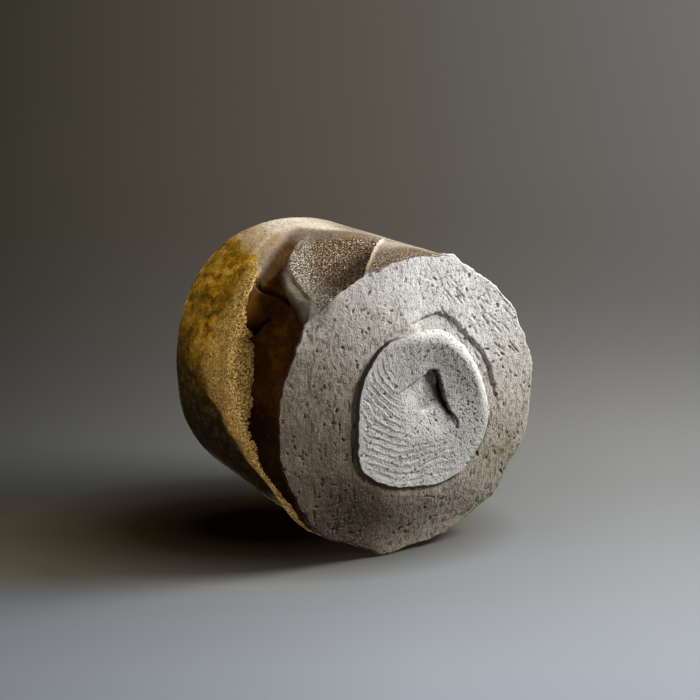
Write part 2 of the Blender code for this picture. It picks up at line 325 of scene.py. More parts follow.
def tear_field(psi, height, spread):
    """One along the tears, falling to zero beside them."""
    field = np.zeros(np.broadcast(psi, height).shape)
    for tear in TEARS:
        near, place = path_distance(np.radians(psi) * spread, height, unrolled(tear))
        field = np.maximum(field, bump(near, 0, TEAR_HALF_WIDTH) * window(place, 0, 0.12, 0.8, 1))
    return field


def carved_radius(psi, height):
    """The outside of the clay about the leaning axis, with every stroke of the knife."""
    psi = wrapped(psi)
    low = np.maximum(height, 0)
    spread = wall_radius(low)
    angle = np.radians(psi - SCOOP_AZIMUTH)
    spur = spread * np.sin(angle) - SPUR_FOOT - SPUR_SLOPE * low

    radius = spread
    for azimuth, depth, rise in KNIFE_FLATS:
        flat = flat_limit(psi, low, azimuth, SLAB_RADIUS - depth + depth * low / rise)
        radius = soft_min(radius, flat, FLAT_BLEND)
    fall = smooth(0.3, 6.5, -above_line(psi, low, CREST)) * window(psi, -96, -84, -58, -44)
    radius = radius - CREST_FALL * fall * smooth(16, 22, low)
    shoulder = SLAB_RADIUS - SCOOP_DEPTH + SCOOP_DEPTH * low / SHOULDER_RISE
    radius = soft_min(radius, flat_limit(psi, low, SCOOP_AZIMUTH, shoulder), SHOULDER_BLEND)
    burr = bump(spur, 0.55, 0.8) * window(low, -1, 3, 16, 22)
    radius = radius + SPUR_BURR * burr * (np.abs(angle) < 1.2)

    axis = SLAB_RADIUS - SCOOP_DEPTH + math.sqrt(SCOOP_CURVE_RADIUS ** 2 - SCOOP_CENTRE_HEIGHT ** 2)
    rise = np.clip(low - SCOOP_CENTRE_HEIGHT, -SCOOP_CURVE_RADIUS, SCOOP_CURVE_RADIUS)
    hollow = axis - np.sqrt(SCOOP_CURVE_RADIUS ** 2 - rise ** 2)
    scooped = soft_min(radius, flat_limit(psi, low, SCOOP_AZIMUTH, hollow), SCOOP_BLEND)
    radius = radius + (scooped - radius) * smooth(0.25, -0.25, spur)

    bite = undercut_bite(psi, low, spread)
    radius = soft_min(radius, np.where(bite > -1, spread - bite, NO_FLAT), UNDERCUT_BLEND)

    over = above_line(psi, low, CREASE)
    roll = LIP_ROLL * bump(over, -5.5, 6) * smooth(0, 2, -bite)
    step = CREASE_STEP * window(over, -0.3, 0.5, 3, 14)
    radius = radius + (roll - step) * window(psi, -196, -184, -124, -108)
    radius = radius + LIP_BULGE * bump(psi, -180, 17) * bump(low, 7.5, 5.5)
    radius = radius - TEAR_DEPTH * tear_field(psi, low, spread)
    return radius + smooth(24, 45, low) * round_wall(psi, RIM_SHIFT)


def bowl_profile(count, outward):
    """Radius and height of the bowl from its mouth to its floor, moved into the clay."""
    angle = np.linspace(math.pi / 2, 0, count)
    radius = BOWL_RADIUS * np.sin(angle)
    height = WALL_HEIGHT - (WALL_HEIGHT - BOWL_BOTTOM) * np.cos(angle) ** (2 / 3)
    along_r, along_h = np.gradient(radius), np.gradient(height)
    length = np.hypot(along_r, along_h)
    return radius - outward * along_h / length, height + outward * along_r / length


# Where the colours of the wall lie, painted highlight and shade among them

def pale_share(psi, height):
    """Where the wall is pale, towards the rim and along the crest above the scoop: partly paler clay, partly
    a painted highlight along the rim.
    """
    rise = above_line(psi, height, PALE_EDGE) / round_wall(psi, PALE_EDGE, 2)
    ends = smooth(-31, -46, psi + 8 * noise(wall_points(psi, height, RIM_RADIUS), 12, 67))
    return smooth(-1, 1, rise) * smooth(-104, -90, psi) * ends


def tan_share(psi, height):
    """Where the pale part is browned, between its lower edge and the rim."""
    rise = above_line(psi, height, PALE_EDGE)
    upper = smooth(3, 6, rise) * smooth(-56, -68, psi)
    return np.maximum(upper, 0.95 * smooth(-55, -66, psi) * smooth(5.5, 2.5, rise))


def coat_share(psi, height, ragged):
    """Where the ash coat lies between its two ends, with soft borders."""
    side = looked_up(height, COAT_SIDE)
    return smooth(6, -6, psi - side + 2 * ragged) * smooth(-208, -166, psi + 7 * ragged)


def coat_border(points):
    """Noise that makes the borders of the ash coat ragged."""
    return noise(points, 5, 61) + 0.5 * noise(points, 1.8, 62)


def shade_share(psi, height, points):
    """Where the ash turns to umber, on the side turned from the lamps: partly its own darker colour, partly
    painted shade.
    """
    return smooth(-118, -137, psi - 0.45 * (height - 28) + 7 * noise(points, 7, 65))


def flash_share(psi):
    """Where the bare clay is blushed by the flame, beside the ash coat's far end."""
    return window(psi, -228, -188, -150, -120)


# Meshes from grids

def grid_normals(points, closed=True):
    """Unit normals of a grid of rows and columns, whose columns may run all the way round."""
    down = np.gradient(points, axis=0)
    if closed:
        onward = (np.roll(points, -1, axis=1) - np.roll(points, 1, axis=1)) / 2
    else:
        onward = np.gradient(points, axis=1)
    normal = np.cross(onward, down)
    length = np.linalg.norm(normal, axis=-1, keepdims=True)
    return normal / np.maximum(length, 1e-12)


def grid_faces(rows, columns, closed=True, first=0):
    index = first + np.arange(rows * columns).reshape(rows, columns)
    here, there = index[:-1], index[1:]
    if closed:
        quads = (here, np.roll(here, -1, axis=1), np.roll(there, -1, axis=1), there)
    else:
        quads = (here[:, :-1], here[:, 1:], there[:, 1:], there[:, :-1])
    return [tuple(face) for face in np.stack(quads, axis=-1).reshape(-1, 4).tolist()]


def capped(points):
    """Points and faces of a grid that runs all the way round, with a fan over its first and last row."""
    rows, columns = points.shape[:2]
    faces = grid_faces(rows, columns)
    middle = rows * columns
    last = middle - columns
    for column in range(columns):
        after = (column + 1) % columns
        faces.append((after, column, middle))
        faces.append((last + column, last + after, middle + 1))
    ends = [points[0].mean(axis=0), points[-1].mean(axis=0)]
    return np.concatenate([points.reshape(-1, 3), ends]), faces


def with_ends(values, first=0.0, last=0.0):
    """A mask of a capped grid, with its values in the middle of the two fans."""
    return np.append(values.ravel(), (first, last))


def placed(name, data):
    obj = bpy.data.objects.new(name, data)
    bpy.context.scene.collection.objects.link(obj)
    return obj


def mesh_piece(name, points, faces, masks):
    mesh = bpy.data.meshes.new(name)
    mesh.from_pydata((points * MM).tolist(), [], faces)
    for title, values in masks.items():
        layer = mesh.attributes.new(title, "FLOAT", "POINT")
        layer.data.foreach_set("value", np.asarray(values, np.float32))
    mesh.shade_smooth()
    mesh.update()
    return placed(name, mesh)


def pit_field(points, count, sizes, chosen, seed):
    """Depth of small pits round chosen points, as a share of each pit's own radius."""
    flat = points.reshape(-1, 3)
    tree = KDTree(len(flat))
    for index, point in enumerate(flat):
        tree.insert(point, index)
    tree.balance()
    random = np.random.default_rng(seed)
    field = np.zeros(len(flat))
    for index in random.choice(len(flat), count, p=chosen.ravel() / chosen.sum()):
        radius = sizes[0] + (sizes[1] - sizes[0]) * random.random() ** 3
        for place, near, distance in tree.find_range(flat[index], radius):
            field[near] = max(field[near], radius * (1 - (distance / radius) ** 2))
    return field.reshape(points.shape[:-1])


# The base: places in its face are (across, up) in millimetres, and angles turn about the pad's centre

PAD_CENTRE = np.array([2.5, -0.5])

# Outline of the pad: angle and reach
PAD_EDGE = np.array([
    (-168, 17.2), (-150.5, 19.3), (-139, 19.1), (-119, 17.5), (-98.7, 16.5), (-81.5, 17.0),
    (-54, 17.9), (-33, 17.3), (-11.6, 17.4), (9, 16.7), (34, 16.4), (63.4, 17.0),
    (71.8, 17.6), (98.5, 16.9), (121.5, 19.1), (137, 18.4), (158.5, 17.7), (178, 16.8),
])
EDGE_SOFTENING = (-6, -3, 0, 3, 6)

# Curved crack in the slab's face beside the pad: angle and reach
CRACK = np.array([
    (-20, 20.4), (1.4, 19.9), (10, 19.6), (24, 19.5), (35.7, 19.7), (47, 19.1),
    (57.5, 19.6), (65.7, 20.6), (75, 21.4), (86, 20.6), (94, 19.8), (115, 19.8),
])
CRACK_DEPTH = 0.58

# Sheer end of the scoop in the pad, and the short crack below it: across and up
NOTCH = np.array([(4.2, 8.4), (5.6, 8.1), (6.6, 6.6), (7.9, 2.0), (9.3, -1.8), (10.6, -4.4)])
NOTCH_CRACK = ((9.3, -1.8), (10.2, -2.8), (10.9, -4.2), (10.7, -5.4))
PAD_SCOOP_DEPTH = 1.7
PAD_LEVEL = 0.05
PAD_DISH = 0.75
PAD_CHAMFER = 1.5
PAD_SINK = 1.3
PAD_BRINK = ((0.1, 0.05), (0.02, 0.16), (-0.03, 0.34))
PAD_FLARE = 0.35
PAD_SIDE_RINGS = 5

# Arcs that the wire left on the pad, about a point in its face
ARC_CENTRE = (2.5, 14.5)
ARC_PITCH = 1.4
ARC_DEPTH = 0.035
FINE_ARC_PITCH = 0.7
FINE_ARC_DEPTH = 0.024

MARK_NEAR = 4.0


def face_places(points):
    flat = points[..., :2]
    return flat @ ACROSS, flat @ UPWARD


def pad_polar(across, up):
    x, y = across - PAD_CENTRE[0], up - PAD_CENTRE[1]
    return np.degrees(np.arctan2(y, x)), np.hypot(x, y)


def pad_edge(phi):
    """The pad's outline about its centre, smoothed through its measured points."""
    table = np.concatenate([PAD_EDGE - (360, 0), PAD_EDGE, PAD_EDGE + (360, 0)])
    return sum(looked_up(phi + offset, table) for offset in EDGE_SOFTENING) / len(EDGE_SOFTENING)


def marks(across, up, count, region, length, width, lean_range, seed):
    """Short drag marks scattered in a box of the face, each a groove of at most unit depth."""
    random = np.random.default_rng(seed)
    field = np.zeros(across.shape)
    for _ in range(count):
        middle = np.array([random.uniform(*region[0]), random.uniform(*region[1])])
        heading = math.radians(random.uniform(*lean_range))
        half = random.uniform(*length) / 2
        step = half * np.array([math.cos(heading), math.sin(heading)])
        near = (np.abs(across - middle[0]) < MARK_NEAR) & (np.abs(up - middle[1]) < MARK_NEAR)
        distance, place = path_distance(across[near], up[near], [middle - step, middle + step])
        groove = bump(distance, 0, random.uniform(*width)) * random.uniform(0.4, 1)
        field[near] = np.maximum(field[near], groove)
    return field


def face_relief(points):
    """How far the slab's face lies behind its flat level."""
    across, up = face_places(points)
    phi, reach = pad_polar(across, up)
    cracked = window(phi, -12, 14, 86, 104)
    ragged = 0.45 * noise(points, 2.2, 5) + 0.25 * noise(points, 0.8, 8)
    crack = looked_up(phi, CRACK) + ragged
    trench = smooth(crack + 0.15, crack - 0.35, reach)
    relief = (CRACK_DEPTH * trench + 0.2 * bump(reach, crack - 0.2, 0.6)) * cracked
    beyond = reach - pad_edge(phi)
    swell = (0.9 + 0.5 * window(phi, -170, -135, -60, -20)) * window(beyond, -2.5, -0.5, 0.5, 13)
    relief += (0.2 * bump(beyond, 0.4, 1.6) - swell) * (1 - cracked)
    relief += 0.5 * smooth(-20, -33, across) + smooth(-17, -31, up)
    relief += 0.9 * smooth(12, 33, 0.75 * across + 0.66 * up)
    relief += 0.6 * smooth(-8, -26, 0.8 * up - 0.6 * across) * smooth(6, 20, across)
    return relief


def notch_line(up):
    """Where the scoop in the pad ends in a sheer step, across at each place up."""
    return np.interp(-up, -NOTCH[:, 1], NOTCH[:, 0])


def pad_relief(points):
    """How far the pad's standing face lies behind its highest level, and where the wire left grooves."""
    across, up = face_places(points)
    phi, reach = pad_polar(across, up)
    edge = pad_edge(phi)
    right = window(phi, -25, 20, 75, 105)

    line = notch_line(up) + 0.25 * noise(points, 1.6, 31)
    beside = smooth(line + 0.2, line - 0.2, across)
    roof = 8.3 + 0.42 * (across - 4.4) + 0.2 * noise(points, 1.4, 32)
    under = smooth(roof + 0.3, roof - 0.5, up)
    depth = PAD_SCOOP_DEPTH * smooth(-9, 7, up) * smooth(-7.5, 7, across)
    scoop = depth * beside * under * smooth(-9.5, -3, up)

    ring = np.hypot(across - ARC_CENTRE[0], up - ARC_CENTRE[1])
    wobble = 1.2 * noise(points, 9, 33) + 0.2 * noise(points, 2, 34)
    wave = np.sin((ring + wobble) * 2 * math.pi / ARC_PITCH)
    fine = np.sin((ring + 1.5 * wobble) * 2 * math.pi / FINE_ARC_PITCH + 1)
    cut = smooth(-1.5, -6, across + 0.25 * up) + smooth(-6, -9.5, up) * smooth(14, 8, across)
    cut = np.clip(cut, 0, 1) * smooth(0.5, 2, edge - reach) * (1 - 0.8 * (scoop > 0.4))
    arcs = cut * (ARC_DEPTH * wave + FINE_ARC_DEPTH * fine + 0.07)
    groove = cut * smooth(0.1, 1.1, wave + 0.6 * fine)

    dish = PAD_DISH * right * smooth(edge - 0.5, edge - 8, reach)
    chamfer = PAD_CHAMFER * right * smooth(edge - 2.6, edge + 0.2, reach)
    return PAD_LEVEL + scoop + arcs + dish + chamfer, groove


# The clay: one grid from the middle of the face over the edge, wall and rim to the bowl's floor

psi = np.arange(COLUMNS) * 360 / COLUMNS
clean_edge = carved_radius(psi, EDGE_ROUND)
edge_radius = clean_edge - EDGE_ROUND
edge_points = wall_points(psi, np.zeros(COLUMNS), edge_radius)
crumbs = window(wrapped(psi), -36, -31, -26, -21)
edge_radius += 0.5 * crumbs + 0.35 * noise(edge_points, 3, 11) + 0.2 * noise(edge_points, 1.2, 12)
rough_edge = edge_radius + EDGE_ROUND - clean_edge
rim_level = WALL_HEIGHT - RIM_ROUND

rows, heights = [], []


def add_ring(level, radius):
    heights.append(np.full(COLUMNS, float(level)))
    rows.append(wall_points(psi, heights[-1], radius))


for share in FACE_SHARES:
    add_ring(0, edge_radius * share)
face_rows = len(rows)
for angle in np.radians(np.linspace(-75, -15, EDGE_RINGS)):
    add_ring(EDGE_ROUND * (1 + math.sin(angle)), edge_radius + EDGE_ROUND * math.cos(angle))
slab_levels = np.linspace(EDGE_ROUND, SLAB_THICKNESS, SLAB_RINGS)
body_levels = np.linspace(SLAB_THICKNESS, rim_level, BODY_RINGS)[1:]
for level in np.concatenate([slab_levels, body_levels]):
    add_ring(level, carved_radius(psi, level) + rough_edge * smooth(3, EDGE_ROUND, level))
slab_rows = face_rows + EDGE_RINGS + SLAB_RINGS
wall_rows = len(rows)
outer = carved_radius(psi, rim_level) - RIM_ROUND
inner = BOWL_RADIUS + LINING + RIM_ROUND
for middle, start, end, count in ((outer, 18, 90, 5), (inner, 90, 180, 6)):
    for angle in np.radians(np.linspace(start, end, count)):
        add_ring(rim_level + RIM_ROUND * math.sin(angle), middle + RIM_ROUND * math.cos(angle))
rim_rows = len(rows)
for radius, level in zip(*bowl_profile(BOWL_RINGS, LINING)):
    if level < rim_level - BOWL_RIM_MARGIN and radius > 1:
        add_ring(level, radius)

clay = np.array(rows)
height = np.array(heights)
azimuth = np.broadcast_to(wrapped(psi), height.shape)
row = np.broadcast_to(np.arange(len(rows))[:, None], height.shape)
on_face = row < face_rows
outside = row < wall_rows
on_wall = outside & ~on_face
shaded = (row >= face_rows) & (row < rim_rows)
across, up = face_places(clay)
from_axis = axis_distance(clay, height)
inset = np.where(on_face, edge_radius - from_axis, 0)
rounded = bump(azimuth, NECK_ROUND_AZIMUTH, 12) * np.clip(1 - inset / NECK_ROUND_REACH, 0, 1) ** 2
clay[..., 2] += (face_relief(clay) + rounded) * smooth(5, 0, height) * outside

# Where the strokes of the knife lie in the wall
plain = wall_radius(height)
bite = undercut_bite(azimuth, height, plain)
recess = smooth(-3, -0.9, bite) * on_wall
along = plain * np.sin(np.radians(azimuth - SCOOP_AZIMUTH))
spur = along - SPUR_FOOT - SPUR_SLOPE * height
past = along - looked_up(height, ARRIS)
over_pale = above_line(azimuth, height, PALE_EDGE)
near_scoop = (np.abs(azimuth - SCOOP_AZIMUTH) < SCOOP_SPREAD) & on_wall
# Brown where the undercut's shade fades out above the scoop: painted shade
tawny = smooth(0.6, -2.2, over_pale) * smooth(0.5, -0.3, past) * window(azimuth, -104, -96, -66, -53)
tawny *= smooth(12, 18, height) * on_wall
scooped = smooth(0.4, -0.4, spur) * smooth(-0.5, 0.4, past) * near_scoop * (1 - smooth(0.3, 0.8, recess))
scooped *= np.maximum(smooth(0.4, 1.3, plain - from_axis), smooth(22, 15, height))
soil = smooth(1, 9, past + 4 * smooth(9, 2, height) * smooth(2, 7, past))

# Grain, drag marks, holes and pits
normal = grid_normals(clay)
if normal[face_rows // 2, 0, 2] > 0:
    normal = -normal
grain = 0.1 * fractal(clay, 9, 2, 1) + 0.055 * fractal(clay, 1.7, 3, 3)
coarse = 0.16 * np.abs(noise(clay, 0.9, 6)) + 0.12 * noise(clay, 1.6, 7)
drag = 0.26 * marks(across, up, 20, ((-31, -15), (-24, 14)), (1.0, 3.2), (0.18, 0.34), (78, 100), 21)
drag += 0.2 * marks(across, up, 60, ((4, 30), (8, 31)), (1.2, 4.0), (0.16, 0.28), (-62, -38), 22)
drag += 0.16 * marks(across, up, 24, ((-22, 20), (-29, -17)), (1.0, 3.0), (0.16, 0.3), (-20, 20), 23)
holes = marks(across, up, 420, ((-33, 33), (-33, 33)), (0.1, 0.7), (0.18, 0.42), (0, 180), 26) * on_face
pits = pit_field(clay, 900, (0.16, 0.46), np.where(on_wall, 1, 1e-9), 41)
move = grain * np.where(outside, 1, 0.25) - 1.6 * coarse * scooped - drag * on_face - 0.38 * holes
move -= 0.6 * pits * (1 - 0.6 * recess) * outside
clay = clay + normal * move[..., None]

# Where the colours of the clay lie, painted light and shade among them
# The spur's burr is painted pale below: a painted highlight on its edge
burr = bump(spur, 0.5, 0.75) * near_scoop * smooth(24, 18, height)
beside = smooth(0.4, 1.6, spur) * smooth(13, 5, height) * window(azimuth, -75, -65, -38, -24) * on_wall
# Darker brown at the scoop's foot along the slab's edge: partly brown clay, partly painted shade
brown_and_shaded_scoop_foot = smooth(10, 1.5, height) * smooth(-84, -70, azimuth) * scooped
neck = bump(azimuth, -88, 7) * smooth(17, 9, height)
arris = window(past, -3.2, -0.6, 0, 0.8) * smooth(27, 19, height)
neck = np.maximum(neck, arris * window(azimuth, -106, -98, -72, -66))
# Darker brown where the wall falls in below the crest and beside the pale rim's right end: painted shade
hollow = smooth(1, -2.5, over_pale) * smooth(-72, -60, azimuth)
hollow = np.maximum(hollow, 0.5 * bump(azimuth, -33, 10) * smooth(42, 34, height))
hollow *= smooth(-24, -38, azimuth) * smooth(14, 20, height) * on_wall
at_neck = bump(azimuth, NECK_AZIMUTH, 10)
face_limit = 0.5 + 0.3 * smooth(-40, -28, azimuth) + 4.5 * at_neck
# The face is paler towards the top right and darker towards the lower left: partly paler clay, partly painted
# light and shade
painted_light_and_pale = smooth(-32, 44, 0.75 * across + 1.22 * up) + 0.3 * smooth(-4, 12, across) * smooth(-12, -22, up)
painted_light_and_pale -= 0.22 * smooth(-4, -13, across) * smooth(-6, -17, up)
painted_light_and_pale -= 0.2 * smooth(14, 30, across) * smooth(20, 0, up)
painted_light_and_pale += 0.2 * bump(across, 1, 11) * smooth(-13, -20, up)
# The undercut and the brown above the scoop are dark rust brown: partly the glaze's own iron colour, partly
# painted shade
iron_and_painted_shade = np.maximum(recess, 0.95 * tawny * (1 - scooped)) * (1 - 0.5 * neck)
ember = smooth(-2.6, -0.6, above_line(azimuth, height, COAT_EDGE)) * bump(azimuth, -94, 13) * on_wall
on_rim = smooth(44.8, 46.2, height) * shaded
masks = {
    "iron_and_painted_shade": np.maximum(iron_and_painted_shade, 0.7 * brown_and_shaded_scoop_foot),
    "scoop": np.maximum(scooped, 0.85 * beside),
    "pits": np.clip(pits / 0.35 + holes * 1.2, 0, 1) + np.clip(drag / 0.2, 0, 1) * on_face,
    # Near black along the tears: painted shadow in the cracks
    "tear": tear_field(azimuth, height, plain) * on_wall,
    "face": smooth(0.4, -0.4, height - face_limit) * outside,
    "painted_light_and_pale": painted_light_and_pale * np.maximum(smooth(0.8, 0, height), smooth(9, 2, height) * at_neck),
    "pale": np.maximum(pale_share(azimuth, height), 0.75 * burr) * shaded,
    "flash": flash_share(azimuth) * shaded,
    "soil": soil,
    "hollow": hollow,
    "ember": ember + 0.22 * tawny * smooth(0.3, -0.9, bite),
    "tan": tan_share(azimuth, height),
    "shade": shade_share(azimuth, height, clay),
    "gilt": on_rim * smooth(0.62, 1, coat_share(azimuth, height, coat_border(clay))),
}
whole_normals = grid_normals(clay)


def clay_piece(name, first, last):
    """One piece of the clay grid, closed with fans, with the whole grid's normals."""
    points, faces = capped(clay[first:last])
    values = {title: with_ends(mask[first:last]) for title, mask in masks.items()}
    piece = mesh_piece(name, points, faces, values)
    normals = np.concatenate([whole_normals[first:last].reshape(-1, 3), [(0, 0, -1), (0, 0, 1)]])
    piece.data.normals_split_custom_set_from_vertices(normals.tolist())
    return piece


slab = clay_piece("slab_clay", 0, slab_rows)
body = clay_piece("body_clay", slab_rows - 1, len(clay))


# The pad: one grid from the middle of its standing face over the brink and down its side

pad_turn = np.arange(PAD_COLUMNS) * 360 / PAD_COLUMNS - 180
pad_reach = pad_edge(pad_turn)


def pad_points(reach):
    turn = np.radians(pad_turn)
    flat = (PAD_CENTRE[0] + reach * np.cos(turn))[:, None] * ACROSS
    flat = flat + (PAD_CENTRE[1] + reach * np.sin(turn))[:, None] * UPWARD
    return np.concatenate([flat, np.zeros((PAD_COLUMNS, 1))], axis=1)


edge_points = pad_points(pad_reach)
pad_reach = pad_reach + 0.28 * noise(edge_points, 2.6, 51) + 0.16 * noise(edge_points, 1, 52)
rows = [pad_points(pad_reach * share) for share in np.linspace(0.03, 0.985, PAD_RINGS)]
grooves = np.zeros((PAD_RINGS + len(PAD_BRINK) + PAD_SIDE_RINGS, PAD_COLUMNS))
for index, line in enumerate(rows):
    line[:, 2], grooves[index] = pad_relief(line)
brink = rows[-1][:, 2]
for inset, drop in PAD_BRINK:
    line = pad_points(pad_reach - inset)
    line[:, 2] = brink + drop
    rows.append(line)
side_top = brink + PAD_BRINK[-1][1]
for share in np.arange(1, PAD_SIDE_RINGS + 1) / PAD_SIDE_RINGS:
    line = pad_points(pad_reach - PAD_BRINK[-1][0] + PAD_FLARE * share)
    line[:, 2] = side_top + (FACE_LEVEL + PAD_SINK - side_top) * share
    rows.append(line)

pad = np.array(rows)
pad_across, pad_up = face_places(pad)
pad_phi, pad_far = pad_polar(pad_across, pad_up)
pad_inset = pad_edge(pad_phi) - pad_far
on_pad = np.broadcast_to((np.arange(len(rows)) < PAD_RINGS)[:, None], pad.shape[:2])
chosen = np.broadcast_to(np.linspace(0.02, 1, len(rows))[:, None], pad.shape[:2])
pad_pits = pit_field(pad, 700, (0.12, 0.36), chosen, 42)
drag = marks(pad_across, pad_up, 60, ((-2, 17), (-12, 14)), (0.5, 1.6), (0.14, 0.24), (-70, -30), 24)
torn = window(pad_phi, -60, -10, 100, 140) * smooth(0.6, 1.8, pad_inset)
lit = window(pad_phi, -25, 10, 85, 125)
left = notch_line(pad_up) - pad_across
# Near black beside the sheer step of the pad's scoop: painted shadow
notch_shadow = window(left, -0.3, 0.1, 0.3, 2.4) * window(pad_up, -4.6, -1.5, 8.3, 8.9)
tear = bump(path_distance(pad_across, pad_up, NOTCH_CRACK)[0], 0, 0.45)
move = 0.05 * fractal(pad, 1.5, 3, 53) + 0.05 * noise(pad, 6, 54) - 0.6 * pad_pits - 0.12 * drag - 0.4 * tear
pad = pad - grid_normals(pad) * (move * np.where(on_pad, 1, 0.7))[..., None]
points, faces = capped(pad)
foot = mesh_piece("foot_clay", points, [face[::-1] for face in faces], {
    "pits": with_ends(np.clip(pad_pits / 0.3 + drag * 0.6 + tear, 0, 1)),
    # The pad's side, where it faces away from the light, is painted near black: painted shade
    "side": with_ends((1 - on_pad) * (1 - lit), 0, 1),
    "torn": with_ends(torn * on_pad),
    # A pale band on the pad's brim where it faces the light: painted highlight
    "brim_highlight": with_ends(lit * smooth(0.95, 0.2, pad_inset) * on_pad),
    "notch_shadow": with_ends(notch_shadow),
    "groove": with_ends(grooves),
})


# The ash coat: a sheet that lies on the wall where the coat is and sinks into it elsewhere

ASH_TOP, ASH_FOOT = 47.9, 2.0
ASH_START = -210
ASH_OVERLAP = 5
ASH_THICK, ASH_SUNK, ASH_BACK = 0.32, 0.55, 0.9

ash_share, ash_height = np.meshgrid(np.linspace(0, 1, ASH_COLUMNS), np.linspace(ASH_TOP, ASH_FOOT, ASH_ROWS))
ash_psi = ASH_START + (ASH_OVERLAP + looked_up(ash_height, COAT_SIDE) - ASH_START) * ash_share
bed = wall_points(ash_psi, ash_height, carved_radius(ash_psi, ash_height))
ragged = coat_border(bed)
sides = coat_share(ash_psi, ash_height, ragged)
over = above_line(ash_psi, ash_height, COAT_EDGE)
coat = sides * smooth(-0.5, 0.6, over + 0.2 * noise(bed, 1.3, 66) + 0.2 * ragged)
coat *= smooth(47.4, 45.8, ash_height + 0.8 * ragged) * smooth(2.4, 4, ash_height)
bumps = 0.05 * noise(bed, 0.9, 63) + 0.05 * noise(bed, 3, 64)
thick = (ASH_THICK + bumps) * coat - ASH_SUNK * (1 - coat)
normal = grid_normals(bed, closed=False)
outward = wall_points(ash_psi, ash_height, 1) - wall_points(ash_psi, ash_height, 0)
normal = normal * np.sign((normal * outward).sum(axis=-1, keepdims=True))
front = bed + normal * thick[..., None]
back = bed - normal * ASH_BACK

count = ASH_ROWS * ASH_COLUMNS
faces = grid_faces(ASH_ROWS, ASH_COLUMNS, closed=False)
faces += [face[::-1] for face in grid_faces(ASH_ROWS, ASH_COLUMNS, closed=False, first=count)]
index = np.arange(count).reshape(ASH_ROWS, ASH_COLUMNS)
border = np.concatenate([index[0, :-1], index[:-1, -1], index[-1, :0:-1], index[:0:-1, 0]])
for here, there in zip(border, np.roll(border, -1)):
    faces.append((there, here, here + count, there + count))

# The sandy lip, brightest near the ridge's edge: partly pale sand, partly a painted highlight
lip = smooth(4.5, -1.8, above_line(ash_psi, ash_height, STRAND) + 0.9 * ragged)
strewn = smooth(2, -2.5, above_line(ash_psi, ash_height, SAND_EDGE) + 1.6 * ragged)
lip = np.maximum(lip, 0.55 * strewn) * (0.25 + 0.75 * smooth(-188, -168, ash_psi + 5 * ragged))
# Near-black ash above the crease at the far end, where the wall faces away from the lamps: painted shade
painted_shadow_side = smooth(-138, -151, ash_psi + 3 * ragged) * smooth(-0.6, 0.6, above_line(ash_psi, ash_height, CREASE))
painted_shadow_side *= 0.35 + 0.65 * smooth(-192, -170, ash_psi + 5 * ragged)
ash_values = {
    "lip": lip,
    "shade": shade_share(ash_psi, ash_height, bed) * (1 - lip),
    "painted_shadow_side": painted_shadow_side,
    "bare": smooth(1 - 0.18 * smooth(36, 26, ash_height), 0.62, sides),
    "pale": pale_share(ash_psi, ash_height),
    "tan": tan_share(ash_psi, ash_height),
    "flash": flash_share(ash_psi),
}
ash_masks = {title: np.append(values.ravel(), np.zeros(count)) for title, values in ash_values.items()}
ash = mesh_piece("ash_coat", np.concatenate([front, back]).reshape(-1, 3), faces, ash_masks)


# The lining of the bowl: one grid from the floor up the inside, over its edge and back down behind

turns = np.arange(LINING_COLUMNS) * 360 / LINING_COLUMNS
ripple = wall_points(turns, np.full(LINING_COLUMNS, 40.0), 27)
edge_shift = 0.5 * noise(ripple, 7, 71) + 0.3 * noise(ripple, 2.5, 72)
rows = []
for offset, order in ((0, -1), (LINING + LINING_BACK, 1)):
    radii, levels = bowl_profile(LINING_RINGS, offset)
    kept = (levels < WALL_HEIGHT - LINING_RIM_MARGIN) & (radii > 0.6)
    for radius, level in list(zip(radii[kept], levels[kept]))[::order]:
        rows.append(wall_points(turns, level + edge_shift * smooth(38, 47, level), radius))
lining = np.array(rows)
soft = 0.07 * noise(lining, 7, 73) + 0.03 * noise(lining, 2.2, 74)
soft *= (np.arange(len(rows)) < len(rows) // 2)[:, None]
lining = lining + grid_normals(lining) * soft[..., None]
deep = with_ends(lining[..., 2] / WALL_HEIGHT, 0.3, 0.3)
bowl = mesh_piece("bowl_lining", *capped(lining), {"deep": deep})


# Materials

class Nodes:
    """A node tree whose nodes are added one by one."""

    def __init__(self, tree):
        self.tree = tree

    def add(self, kind, inputs=None, **settings):
        node = self.tree.nodes.new("ShaderNode" + kind)
        for key, value in settings.items():
            setattr(node, key, value)
        for key, value in (inputs or {}).items():
            self.feed(node.inputs[key], value)
        return node

    def feed(self, socket, value):
        if isinstance(value, bpy.types.NodeSocket):
            self.tree.links.new(value, socket)
        else:
            socket.default_value = value

    def calc(self, kind, one, two=0):
        return self.add("Math", {0: one, 1: two}, operation=kind).outputs[0]

    def times(self, one, two):
        return self.calc("MULTIPLY", one, two)

    def plus(self, one, two):
        return self.calc("ADD", one, two)

    def rest(self, share):
        """What a share leaves of one."""
        return self.calc("SUBTRACT", 1, share)

    def weighted(self, *parts):
        """The sum of values, each times its weight."""
        total = None
        for value, weight in parts:
            part = self.times(value, weight)
            total = part if total is None else self.plus(total, part)
        return total

    def choose(self, share, one, two):
        """One shader where the share is zero, and the other where it is one."""
        return self.add("MixShader", {0: share, 1: one, 2: two}).outputs[0]

    def background_rays(self):
        """One for rays from the camera, and for mirrored rays and rays let through, else zero."""
        light = self.add("LightPath").outputs
        seen = self.calc("MAXIMUM", light["Is Camera Ray"], light["Is Glossy Ray"])
        return self.calc("MAXIMUM", seen, light["Is Transmission Ray"])


